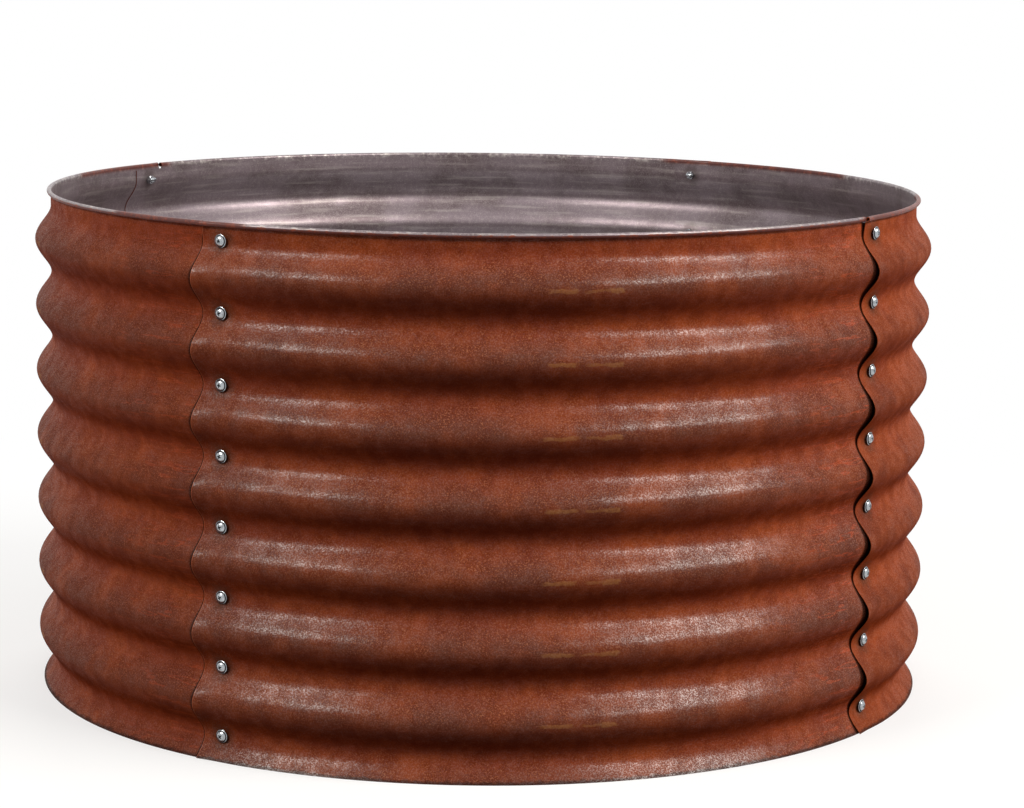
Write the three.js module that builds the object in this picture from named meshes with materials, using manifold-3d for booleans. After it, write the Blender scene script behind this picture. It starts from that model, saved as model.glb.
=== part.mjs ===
// Round raised garden bed: four curved panels of corrugated sheet steel, each lapping
// over the next and held to it by a row of screws and nuts, one in every valley.
// Millimetres, +Z up, origin on the ground at the middle of the bed, front towards -Y.

import * as THREE from 'three';
import { mergeVertices } from 'three/addons/utils/BufferGeometryUtils.js';
import Module from 'manifold-3d';

const wasm = await Module();
wasm.setup();

// Wall
const bedHeight = 600; // ground to the top of the rolled rim
const wallRadius = 535; // axis of the bed to the middle of the wave
const wavePitch = 79; // crest to crest
const waveDepth = 19; // valley to crest
const topCrestDrop = 60; // top of the rim down to the first crest
const sheetThickness = 0.8;
const rimDiameter = 5.5; // outside of the rolled edge
const rimCurlDegrees = 270; // how far the edge is rolled round
const rimNotchDepth = 6.5; // rolled edge cut away under the neighbour's lap
const rimEndGap = 1; // between the ends of two neighbours' rolled edges

// Laps and fasteners
const screwEdgeDistance = 26; // screw to the cut end of the panel it holds down
const lowestScrewHeight = 15; // no screw comes nearer to the ground
const threadDiameter = 6;
const screwLength = 16; // under the head
const headDiameter = 15;
const headHeight = 4.2;
const headEdgeHeight = 1.5; // flat rim of the head, below its dome
const headDomeDiameter = 12.4;
const nutAcrossFlats = 10;
const nutHeight = 5;
const screwHoleDiameter = 7;

// Clearances
const lapClearance = 0.3; // between lapped sheets where the wave is steepest
const seatClearance = 0.3; // under a screw head and under a nut
const threadClearance = 0.25; // round the thread in its nut

// Fineness of the facets
const stepsPerWave = 6;
const stepsAlongPanel = 8; // between its two laps
const rimSteps = 6;
const roundSides = 8; // screws and their holes
const mostPieces = 60; // beyond this many, a nut is drawn in one with its screw

// The panels in turn, seen from above against the clock, and the seam at each one's left end
const sides = [
  { panel: 'front', seam: 'front_left' },
  { panel: 'right', seam: 'front_right' },
  { panel: 'back', seam: 'back_right' },
  { panel: 'left', seam: 'back_left' },
];

// Worked out from the sizes above
const topCrestHeight = bedHeight - topCrestDrop;
const topValleyHeight = topCrestHeight + wavePitch / 2;
const panelAngle = 2 * Math.PI / sides.length;
const lapAngle = 2 * screwEdgeDistance / wallRadius;
const lapFlatness = Math.cos(lapAngle / 2); // a lap is one flat facet, so its middle lies in
const steepestSlope = Math.atan(Math.PI * waveDepth / wavePitch);
const lapStep = (sheetThickness + lapClearance) / Math.cos(steepestSlope);

const rustySteel = new THREE.MeshStandardMaterial({ color: 0x80422b, roughness: 0.62, metalness: 0.35 });
const zincPlate = new THREE.MeshStandardMaterial({ color: 0xc4c6ca, roughness: 0.25, metalness: 1 });

/** A three.js geometry as a solid that can be cut and joined. */
function toSolid(geometry) {
  const bare = geometry.clone();
  bare.deleteAttribute('normal');
  bare.deleteAttribute('uv');
  const merged = mergeVertices(bare, 1e-4);
  const vertProperties = new Float32Array(merged.getAttribute('position').array);
  const triVerts = new Uint32Array(merged.getIndex().array);
  return new wasm.Manifold(new wasm.Mesh({ numProp: 3, vertProperties, triVerts }));
}

/** A cut or joined solid as a three.js geometry. */
function toGeometry(solid) {
  const mesh = solid.getMesh();
  const geometry = new THREE.BufferGeometry();
  geometry.setAttribute('position', new THREE.BufferAttribute(new Float32Array(mesh.vertProperties), 3));
  geometry.setIndex(new THREE.BufferAttribute(new Uint32Array(mesh.triVerts), 1));
  geometry.computeVertexNormals();
  return geometry;
}

/** Distance from the axis to the middle of the sheet: a wave, upright above its highest valley. */
function waveRadius(height) {
  const onWave = Math.min(height, topValleyHeight) - topCrestHeight;
  return wallRadius + waveDepth / 2 * Math.cos(2 * Math.PI * onWave / wavePitch);
}

/** The middle of the sheet in section (x is the radius, y the height), from the ground up. */
function sheetPath() {
  const step = wavePitch / stepsPerWave;
  const points = [];
  for (let height = topValleyHeight; height > step / 3; height -= step) {
    points.unshift(new THREE.Vector2(waveRadius(height), height));
  }
  points.unshift(new THREE.Vector2(waveRadius(0), 0));
  const curlRadius = (rimDiameter - sheetThickness) / 2;
  const curlCentre = new THREE.Vector2(waveRadius(bedHeight) + curlRadius, bedHeight - rimDiameter / 2);
  for (let i = 0; i <= rimSteps; i += 1) {
    const turn = Math.PI - THREE.MathUtils.degToRad(rimCurlDegrees) * i / rimSteps;
    const spoke = new THREE.Vector2(Math.cos(turn), Math.sin(turn)).multiplyScalar(curlRadius);
    points.push(spoke.add(curlCentre));
  }
  return points;
}

/** Unit normal of the path at each of its points, outwards from the bed on the wave. */
function pathNormals(path) {
  const edgeNormals = [];
  for (let i = 1; i < path.length; i += 1) {
    const along = path[i].clone().sub(path[i - 1]).normalize();
    edgeNormals.push(new THREE.Vector2(along.y, -along.x));
  }
  return path.map((point, i) => {
    const before = edgeNormals[Math.max(i - 1, 0)];
    const after = edgeNormals[Math.min(i, edgeNormals.length - 1)];
    return before.clone().add(after).normalize();
  });
}

/** One face of the sheet in section: side 1 is its outer face, side -1 its inner one. */
function sheetFace(path, side) {
  const normals = pathNormals(path);
  const face = path.map((point, i) => point.clone().addScaledVector(normals[i], side * sheetThickness / 2));
  // The foot is cut level, so both faces end on the ground.
  face[0].set(path[0].x + side * sheetThickness / 2 / normals[0].x, 0);
  return face;
}

const path = sheetPath();
const outerFace = sheetFace(path, 1);
const innerFace = sheetFace(path, -1);

/** Radius of a face of the sheet at a height on the wave. */
function faceRadius(face, height) {
  const above = face.findIndex((point, i) => i > 0 && point.y >= height);
  const low = face[above - 1];
  const high = face[above];
  return THREE.MathUtils.mapLinear(height, low.y, high.y, low.x, high.x);
}

/** Angles of a panel's facet edges from its middle: one facet for each lap, even ones between. */
function facetAngles() {
  const lapStart = (panelAngle - lapAngle) / 2;
  const lapEnd = (panelAngle + lapAngle) / 2;
  const angles = [-lapEnd];
  for (let i = 0; i <= stepsAlongPanel; i += 1) {
    angles.push(THREE.MathUtils.lerp(-lapStart, lapStart, i / stepsAlongPanel));
  }
  angles.push(lapEnd);
  return angles;
}

/** How far the panel lies out of true at an angle, so that its left end laps over its neighbour. */
function lapOffset(angle) {
  return -lapStep * angle / panelAngle;
}

/** The whole sheet of a panel, faced to the front, before its holes and notch are cut. */
function sheetGeometry() {
  const outline = [...outerFace, ...innerFace.slice().reverse()];
  const angles = facetAngles();
  const positions = [];
  for (const angle of angles) {
    for (const point of outline) {
      const radius = point.x + lapOffset(angle);
      positions.push(radius * Math.sin(angle), -radius * Math.cos(angle), point.y);
    }
  }
  const around = outline.length;
  const index = [];
  for (let ring = 0; ring + 1 < angles.length; ring += 1) {
    for (let i = 0; i < around; i += 1) {
      const a = ring * around + i;
      const b = ring * around + (i + 1) % around;
      index.push(a, a + around, b + around, a, b + around, b);
    }
  }
  const lastRing = (angles.length - 1) * around;
  for (let i = 0; i + 1 < path.length; i += 1) {
    const [a, b, c, d] = [i, i + 1, around - 2 - i, around - 1 - i];
    index.push(a, b, c, a, c, d);
    index.push(lastRing + a, lastRing + c, lastRing + b, lastRing + a, lastRing + d, lastRing + c);
  }
  const geometry = new THREE.BufferGeometry();
  geometry.setAttribute('position', new THREE.Float32BufferAttribute(positions, 3));
  geometry.setIndex(index);
  return geometry;
}

/** Heights of the screws, from the top one down: one in each valley. */
function screwHeights() {
  const heights = [];
  for (let height = topValleyHeight; height > lowestScrewHeight; height -= wavePitch) {
    heights.push(height);
  }
  return heights;
}

/** The drill for one screw hole, through the wall at an angle and a height. */
function holeDrill(angle, height) {
  const reach = 2 * waveDepth;
  const drill = new THREE.CylinderGeometry(screwHoleDiameter / 2, screwHoleDiameter / 2, reach, roundSides);
  drill.translate(0, -waveRadius(height), 0);
  drill.rotateZ(angle);
  drill.translate(0, 0, height);
  return toSolid(drill);
}

/** What is cut from the rolled edge at a panel's right end, where the neighbour laps over it. */
function rimNotch() {
  const length = 2 * (screwEdgeDistance + rimEndGap);
  const box = new THREE.BoxGeometry(length, 2 * waveDepth, 2 * rimNotchDepth);
  box.translate(0, -waveRadius(bedHeight), bedHeight);
  box.rotateZ(panelAngle / 2);
  return toSolid(box);
}

/** One panel, drilled at both ends and notched at its right end. */
function panelGeometry() {
  let panel = toSolid(sheetGeometry());
  for (const height of screwHeights()) {
    panel = panel.subtract(holeDrill(-panelAngle / 2, height));
    panel = panel.subtract(holeDrill(panelAngle / 2, height));
  }
  return toGeometry(panel.subtract(rimNotch()));
}

/** A domed screw along +Y, with the underside of its head at the origin. */
function screwGeometry() {
  const profile = [
    new THREE.Vector2(0, -screwLength),
    new THREE.Vector2(threadDiameter / 2, -screwLength),
    new THREE.Vector2(threadDiameter / 2, 0),
    new THREE.Vector2(headDiameter / 2, 0),
    new THREE.Vector2(headDomeDiameter / 2, headEdgeHeight),
    new THREE.Vector2(0, headHeight),
  ];
  return new THREE.LatheGeometry(profile, roundSides);
}

/** A hexagon across flats, as an outline to extrude or a hole in one. */
function hexagon(outline, acrossFlats) {
  const radius = acrossFlats / 2 / Math.cos(Math.PI / 6);
  for (let i = 0; i < 6; i += 1) {
    const corner = new THREE.Vector2(radius, 0).rotateAround(new THREE.Vector2(), i * Math.PI / 3);
    if (i === 0) {
      outline.moveTo(corner.x, corner.y);
    } else {
      outline.lineTo(corner.x, corner.y);
    }
  }
  outline.closePath();
  return outline;
}

/** A hexagon nut along +Y, with its inner end at the origin; a solid one has no bore. */
function nutGeometry(hasBore) {
  const outline = hexagon(new THREE.Shape(), nutAcrossFlats);
  if (hasBore) {
    outline.holes.push(hexagon(new THREE.Path(), threadDiameter + 2 * threadClearance));
  }
  const nut = new THREE.ExtrudeGeometry(outline, { depth: nutHeight, bevelEnabled: false });
  nut.rotateX(-Math.PI / 2);
  return nut;
}

/** Where the underside of a screw head lies: on the flanks of its valley in the outer sheet. */
function headSeatRadius(height) {
  const below = faceRadius(outerFace, height - headDiameter / 2);
  const above = faceRadius(outerFace, height + headDiameter / 2);
  return (Math.max(below, above) + lapStep / 2) * lapFlatness + seatClearance;
}

/** Where the inner end of a nut lies: its outer end is on the ridge of the inner sheet. */
function nutEndRadius(height) {
  return (faceRadius(innerFace, height) - lapStep / 2) * lapFlatness - seatClearance - nutHeight;
}

/** A screw with its nut run up it, as one solid. */
function screwAndNutGeometry(height) {
  const nut = nutGeometry(false);
  nut.translate(0, nutEndRadius(height) - headSeatRadius(height), 0);
  return toGeometry(toSolid(screwGeometry()).add(toSolid(nut)));
}

/** Places a fastener's mesh on a seam that faces -Y, at a radius and a height. */
function fastener(name, geometry, radius, height) {
  const mesh = new THREE.Mesh(geometry, zincPlate);
  mesh.name = name;
  mesh.position.set(0, -radius, height);
  mesh.rotation.x = Math.PI;
  return mesh;
}

const bed = new THREE.Group();
const panelSheet = panelGeometry();
sides.forEach((side, i) => {
  const panel = new THREE.Mesh(panelSheet, rustySteel);
  panel.name = `panel_${side.panel}`;
  panel.rotation.z = i * panelAngle;
  bed.add(panel);
});

const heights = screwHeights();
let looseNuts = mostPieces - sides.length - sides.length * heights.length;
sides.forEach((side, i) => {
  const seam = new THREE.Group();
  seam.rotation.z = (i - 0.5) * panelAngle;
  heights.forEach((height, row) => {
    const place = `${side.seam}_${row + 1}`;
    const seat = headSeatRadius(height);
    if (looseNuts > 0) {
      seam.add(fastener(`screw_${place}`, screwGeometry(), seat, height));
      seam.add(fastener(`nut_${place}`, nutGeometry(true), nutEndRadius(height), height));
    } else {
      seam.add(fastener(`screw_and_nut_${place}`, screwAndNutGeometry(height), seat, height));
    }
    looseNuts -= 1;
  });
  bed.add(seam);
});

export default bed;
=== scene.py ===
"""Round raised garden bed of corrugated sheet steel with a rust-brown finish: the fine shape and
finish of its panels, screws and nuts, in metres, built round the fixed frame of the bed."""

import math
from typing import NamedTuple

import bmesh
import bpy
from bpy.props import FloatProperty, FloatVectorProperty, IntProperty, PointerProperty
from mathutils import Matrix, Vector


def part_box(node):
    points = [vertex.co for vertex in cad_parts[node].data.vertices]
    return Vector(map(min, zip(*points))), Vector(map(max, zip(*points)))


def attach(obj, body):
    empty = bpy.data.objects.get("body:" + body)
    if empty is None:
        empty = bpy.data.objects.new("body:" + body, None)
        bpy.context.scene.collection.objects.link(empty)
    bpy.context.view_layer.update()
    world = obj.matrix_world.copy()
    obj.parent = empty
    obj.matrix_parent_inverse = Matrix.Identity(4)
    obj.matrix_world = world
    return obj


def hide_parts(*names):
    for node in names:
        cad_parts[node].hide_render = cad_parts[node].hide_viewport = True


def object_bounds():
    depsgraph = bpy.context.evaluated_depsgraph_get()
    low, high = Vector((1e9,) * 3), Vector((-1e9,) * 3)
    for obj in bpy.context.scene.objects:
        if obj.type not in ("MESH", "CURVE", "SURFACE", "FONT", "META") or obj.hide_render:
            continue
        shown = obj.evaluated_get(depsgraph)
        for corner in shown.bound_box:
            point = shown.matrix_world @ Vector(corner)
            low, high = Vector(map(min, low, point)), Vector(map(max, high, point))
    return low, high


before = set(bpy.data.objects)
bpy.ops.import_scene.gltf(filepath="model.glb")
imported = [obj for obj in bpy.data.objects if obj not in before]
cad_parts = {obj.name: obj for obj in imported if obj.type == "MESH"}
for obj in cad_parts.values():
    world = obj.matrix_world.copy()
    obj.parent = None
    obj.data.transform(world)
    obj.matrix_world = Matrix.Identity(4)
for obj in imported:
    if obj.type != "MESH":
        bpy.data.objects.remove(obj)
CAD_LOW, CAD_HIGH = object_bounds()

bl_info = {
    "name": "Corrugated garden bed",
    "version": (1, 0, 0),
    "blender": (4, 5, 0),
    "location": "3D View > Sidebar > Garden Bed",
    "description": "Builds the panels, screws and nuts of a round raised garden bed",
    "category": "Add Mesh",
}

MM = 0.001
BODY = "root"
STEEL_SLOT = "weathered_steel"
ZINC_SLOT = "zinc_plate"
SHEET_MAP = "SheetMap"  # UV map of a panel, in metres: along it from its left end, and up it
PANELS = ("front", "right", "back", "left")  # in turn, seen from above against the clock

# Sizes that place other sizes
WAVE_DEPTH = 19 * MM
SHEET_THICKNESS = 0.8 * MM
THREAD_DIAMETER = 6 * MM


def tone(red, green, blue):
    """A colour given in display values from 0 to 255, as the linear values that nodes take."""
    shares = (red / 255, green / 255, blue / 255)
    return [s / 12.92 if s <= 0.04045 else ((s + 0.055) / 1.055) ** 2.4 for s in shares]


# ---------------------------------------------------------------- sizes and colours


def length(name, description, default):
    return FloatProperty(name=name, description=description, default=default, min=0, unit="LENGTH")


def turn(name, description, degrees):
    return FloatProperty(
        name=name, description=description, default=math.radians(degrees), unit="ROTATION"
    )


def count(name, description, default):
    return IntProperty(name=name, description=description, default=default, min=1)


def colour(name, description, red, green, blue):
    return FloatVectorProperty(
        name=name,
        description=description,
        default=tone(red, green, blue),
        subtype="COLOR",
        min=0,
        max=1,
    )


def share(name, description, default):
    return FloatProperty(
        name=name, description=description, default=default, min=0, max=1, subtype="FACTOR"
    )


class BedSheet(bpy.types.PropertyGroup):
    """Sizes of the corrugated sheet that every panel is made of."""

    height: length("Height", "Ground to the top of the rolled rim", CAD_HIGH.z)
    wall_radius: length(
        "Wall Radius",
        "Axis of the bed to the middle of the wave",
        CAD_HIGH.y - (WAVE_DEPTH + SHEET_THICKNESS) / 2,
    )
    wave_pitch: length("Wave Pitch", "Crest to crest", 79 * MM)
    wave_depth: length("Wave Depth", "Valley to crest", WAVE_DEPTH)
    top_crest_drop: length("Top Crest Drop", "Top of the rim down to the first crest", 60 * MM)
    sheet_thickness: length("Sheet Thickness", "Thickness of the sheet", SHEET_THICKNESS)
    rim_diameter: length("Rim Diameter", "Outside of the rolled edge", 5.5 * MM)
    rim_curl: turn("Rim Curl", "How far the edge is rolled round", 290)
    notch_depth: length("Notch Depth", "Rolled edge cut away under the neighbour's lap", 6.5 * MM)
    rim_end_gap: length("Rim End Gap", "Between two neighbours' rolled edges", 1 * MM)
    screw_edge: length("Screw Edge Distance", "Screw to the cut end of its panel", 26 * MM)
    hole_diameter: length("Hole Diameter", "Screw holes", 7 * MM)
    lap_step: length("Lap Step", "One sheet's stand-off from the other in a lap", 1.38 * MM)
    lap_pull: length("Lap Pull", "How far the screws draw a lap in", 0.63 * MM)
    edge_lift: length("Edge Lift", "How far the free end stands off on the crests", 4.2 * MM)
    dent_depth: length("Dent Depth", "How far the wall wanders inwards from true", 0.5 * MM)
    rows_per_wave: count("Rows per Wave", "Steps up each wave", 24)
    rim_rows: count("Rim Rows", "Steps round the rolled edge", 14)
    lap_columns: count("Lap Columns", "Steps across each lap, an even number", 14)
    middle_columns: count("Middle Columns", "Steps between the two laps, an even number", 92)


class BedFasteners(bpy.types.PropertyGroup):
    """Sizes of the screws and nuts."""

    head_diameter: length("Head Diameter", "Flange of the head", 15 * MM)
    head_height: length("Head Height", "Seat to the top of the dome", 4.2 * MM)
    flange_height: length("Flange Height", "Upright edge of the flange", 0.7 * MM)
    dome_diameter: length("Dome Diameter", "Dome at its foot", 12.4 * MM)
    dome_foot: length("Dome Foot", "Seat to the foot of the dome", 1.3 * MM)
    recess_span: length("Recess Span", "Cross recess from end to end", 5.4 * MM)
    recess_width: length("Recess Width", "Width of one slot of the cross", 1.5 * MM)
    recess_depth: length("Recess Depth", "Depth of the cross recess", 2.6 * MM)
    thread_diameter: length("Thread Diameter", "Outside of the thread", THREAD_DIAMETER)
    thread_pitch: length("Thread Pitch", "Thread crest to thread crest", 1 * MM)
    thread_depth: length("Thread Depth", "Thread crest to root", 0.6 * MM)
    thread_reach: length("Thread Reach", "Length of thread up from the tip", 11 * MM)
    screw_length: length("Screw Length", "Under the head", 16 * MM)
    nut_flats: length("Nut Across Flats", "Width of the nut", 10 * MM)
    nut_height: length("Nut Height", "Thickness of the nut", 5 * MM)
    bore_clearance: length("Bore Clearance", "Between the thread and its nut", 0.12 * MM)
    round_sides: count("Round Sides", "Sides of a round outline", 32)


class BedFinish(bpy.types.PropertyGroup):
    """Colours of the finishes."""

    rust: colour("Rust", "Main brown of the outside", 128, 53, 26)
    rust_warm: colour("Warm Rust", "Orange-brown patches", 150, 68, 28)
    # Painted shade tint: the warmer red-brown of the down-facing slopes under the crests
    underside_shade_rust: colour("Sheltered Rust", "Warm brown under the waves", 142, 54, 20)
    rust_deep: colour("Deep Rust", "Dark red-brown patches and streaks", 82, 28, 18)
    # Crest colour: part wear, part painted sheen and painted shade
    mauve: colour("Mauve Brown", "Dull brown of the crests", 84, 50, 38)
    streak: colour("Streak", "Thin orange lines near a panel's right end", 172, 72, 38)
    speck: colour("Pale Specks", "Fine pale grains", 190, 128, 92)
    tarnish: colour("Tarnish", "Stain round the screws", 62, 46, 36)
    # Painted shadow by the laps, and the colour of the darkening along the lower edge
    gap_shadow_and_low_edge: colour("Gap Dirt", "Dirt by the laps and along the lower edge", 22, 9, 6)
    ochre: colour("Ochre", "Scuffs half way along a panel", 158, 106, 62)
    # Bare rust of the cut ends, made paler as a painted edge highlight
    edge: colour("Cut Edge", "Bare rust on the cut ends", 186, 96, 58)
    inner: colour("Inner Face", "Grey-mauve of the inner face and rolled rim", 126, 112, 118)
    inner_dark: colour("Inner Patches", "Dark patches of the inner face", 84, 68, 70)
    inner_worn: colour("Worn Rim", "Pale worn spots of the inner face and rim", 206, 198, 192)
    zinc: colour("Zinc", "Screws and nuts", 172, 176, 180)
    zinc_dull: colour("Dull Zinc", "Dull patches of the zinc", 118, 120, 120)
    # Painted shade in the cross recess and in the groove round the dome
    grime: colour("Grime", "In the recess and round the dome of a screw", 34, 32, 34)


class BedStage(bpy.types.PropertyGroup):
    """Camera, lamps and floor."""

    camera_bearing: turn("Camera Bearing", "Round from the front, against the clock", -12.37)
    camera_distance: length("Camera Distance", "Camera to the axis of the bed", 3.777)
    camera_height: length("Camera Height", "Camera above the ground", 0.947)
    camera_pitch: turn("Camera Pitch", "Camera's tilt below the horizon", 9.253)
    camera_yaw: turn("Camera Yaw", "Camera's turn to the right of the axis", 0.563)
    camera_roll: turn("Camera Roll", "Camera's roll against the clock", 0.711)
    camera_lens: FloatProperty(
        name="Camera Lens", description="Focal length in millimetres", default=108.57, min=1
    )
    floor_radius: length("Floor Radius", "Size of the floor", 20.0)
    ambient: FloatProperty(name="Ambient", description="Light from all round", default=0.12, min=0)
    floor_bounce: share("Floor Bounce", "Light that the floor throws back on the bed", 0.08)


# ---------------------------------------------------------------- node trees

NODES_IN_ROW = 40  # how the nodes lie in the node editor
NODE_WIDTH = 200
NODE_HEIGHT = 300

# Types of sockets
VALUE = "NodeSocketFloat"
COUNT = "NodeSocketInt"
VECTOR = "NodeSocketVector"
SHAPE = "NodeSocketGeometry"
FINISH = "NodeSocketMaterial"
MODEL = "NodeSocketObject"


def feed(tree, pin, value):
    """Gives an input a value: a number, a colour, a socket or a formula's result."""
    if isinstance(value, Number):
        value = value.socket
    if isinstance(value, bpy.types.NodeSocket):
        tree.links.new(value, pin)
    elif getattr(pin, "type", "") == "RGBA" and len(value) == 3:
        pin.default_value = (*value, 1.0)
    else:
        pin.default_value = value


def add(tree, kind, feeds=None, **settings):
    """A new node of a kind, with its settings made and its inputs fed by name or number."""
    node = tree.nodes.new(kind)
    row, column = divmod(len(tree.nodes), NODES_IN_ROW)
    node.location = (NODE_WIDTH * column, -NODE_HEIGHT * row)
    for name, value in settings.items():
        setattr(node, name, value)
    for name, value in (feeds or {}).items():
        feed(tree, node.inputs[name], value)
    return node


def made(tree, kind, feeds=None, **settings):
    """The first output of a new node."""
    return add(tree, kind, feeds, **settings).outputs[0]


class Number:
    """A value in a node tree that takes part in formulas: each operation adds one Math node."""

    def __init__(self, tree, socket):
        self.tree = tree
        self.socket = socket

    def math(self, operation, *others):
        feeds = dict(enumerate((self, *others)))
        return Number(self.tree, made(self.tree, "ShaderNodeMath", feeds, operation=operation))

    def __add__(self, other):
        return self.math("ADD", other)

    def __sub__(self, other):
        return self.math("SUBTRACT", other)

    def __mul__(self, other):
        return self.math("MULTIPLY", other)

    def __truediv__(self, other):
        return self.math("DIVIDE", other)

    def __rsub__(self, other):
        return self * -1 + other

    def cos(self):
        return self.math("COSINE")

    def sin(self):
        return self.math("SINE")

    def root(self):
        return self.math("SQRT")

    def size(self):
        return self.math("ABSOLUTE")

    def least(self, other):
        return self.math("MINIMUM", other)

    def most(self, other):
        return self.math("MAXIMUM", other)

    def within(self, low, high):
        return self.most(low).least(high)

    def above(self, other):
        return self.math("GREATER_THAN", other)

    def below(self, other):
        return self.math("LESS_THAN", other)

    def nearest(self, step):
        """Distance to the nearest multiple of a step."""
        return self - (self / step).math("ROUND") * step

    def ramp(self, start, end, low=0.0, high=1.0):
        """Runs smoothly from low to high as the value goes from start to end."""
        feeds = {"Value": self, "From Min": start, "From Max": end, "To Min": low, "To Max": high}
        node = add(self.tree, "ShaderNodeMapRange", feeds, interpolation_type="SMOOTHSTEP")
        return Number(self.tree, node.outputs["Result"])


def noise(tree, place, scale, detail, roughness=0.5):
    """Noise between 0 and 1, with a number of its waves to the metre."""
    feeds = {"Vector": place, "Scale": scale, "Detail": detail, "Roughness": roughness}
    return Number(tree, made(tree, "ShaderNodeTexNoise", feeds))


def new_tree(name, kind, inputs, outputs):
    """A node group with named inputs and outputs. Returns it, its inputs and its last node."""
    tree = bpy.data.node_groups.new(name, kind)
    for label, socket_type, default in inputs:
        socket = tree.interface.new_socket(name=label, in_out="INPUT", socket_type=socket_type)
        if default is not None:
            socket.default_value = default
    for label, socket_type in outputs:
        tree.interface.new_socket(name=label, in_out="OUTPUT", socket_type=socket_type)
    start = add(tree, "NodeGroupInput")
    end = add(tree, "NodeGroupOutput")
    return tree, start.outputs, end


def set_inputs(modifier, values):
    """Sets a geometry tree's inputs on its modifier, by the sockets' identifiers."""
    for label, value in values.items():
        modifier[modifier.node_group.interface.items_tree[label].identifier] = value


def new_object(name, data):
    """A new object, put in the scene."""
    thing = bpy.data.objects.new(name, data)
    bpy.context.scene.collection.objects.link(thing)
    return thing


def grown_mesh(name, mesh, tree, values):
    """The plain mesh that a geometry tree makes of a mesh."""
    maker = new_object(name + "_maker", mesh)
    modifier = maker.modifiers.new("Nodes", "NODES")
    modifier.node_group = tree
    set_inputs(modifier, values)
    depsgraph = bpy.context.evaluated_depsgraph_get()
    grown = bpy.data.meshes.new_from_object(
        maker.evaluated_get(depsgraph), preserve_all_data_layers=True, depsgraph=depsgraph
    )
    grown.name = name
    bpy.data.objects.remove(maker)
    if not grown.polygons:
        raise RuntimeError(f"{name} came out empty")
    return grown


def shade(mesh, sharp_degrees):
    """Smooth shading, with edges sharper than an angle left sharp."""
    mesh.shade_smooth()
    mesh.set_sharp_from_angle(angle=math.radians(sharp_degrees))


def place(name, mesh, slot, replaced):
    """Puts a finished mesh in the scene as a piece of the bed that stands for its CAD nodes."""
    piece = new_object(name, mesh)
    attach(piece, BODY)
    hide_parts(*replaced)


# ---------------------------------------------------------------- panels

SHEET_SIZES = (
    "height", "wall_radius", "wave_pitch", "wave_depth", "top_crest_drop", "sheet_thickness",
    "rim_diameter", "rim_curl", "notch_depth", "rim_end_gap", "screw_edge", "hole_diameter",
    "lap_step", "lap_pull", "edge_lift", "dent_depth",
)  # fmt: skip
SHEET_COUNTS = ("rows_per_wave", "rim_rows", "lap_columns", "middle_columns")
INNER_FACE = "inner_face"  # marks the faces of a panel's inner side
PANEL_ANGLE = math.tau / len(PANELS)
LIFT_PHASE = math.radians(140)  # part of a wave, up from the valley, where a free end lifts most
MERGE_DISTANCE = 0.01 * MM
ROUNDING_ANGLE = 0.001  # radians, more than rounding moves a point by
DENT_SCALE = 6.0
DENT_BORDER = 0.1  # radians from a panel's end over which the dents fade out


def title(name):
    return name.replace("_", " ").title()


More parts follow.
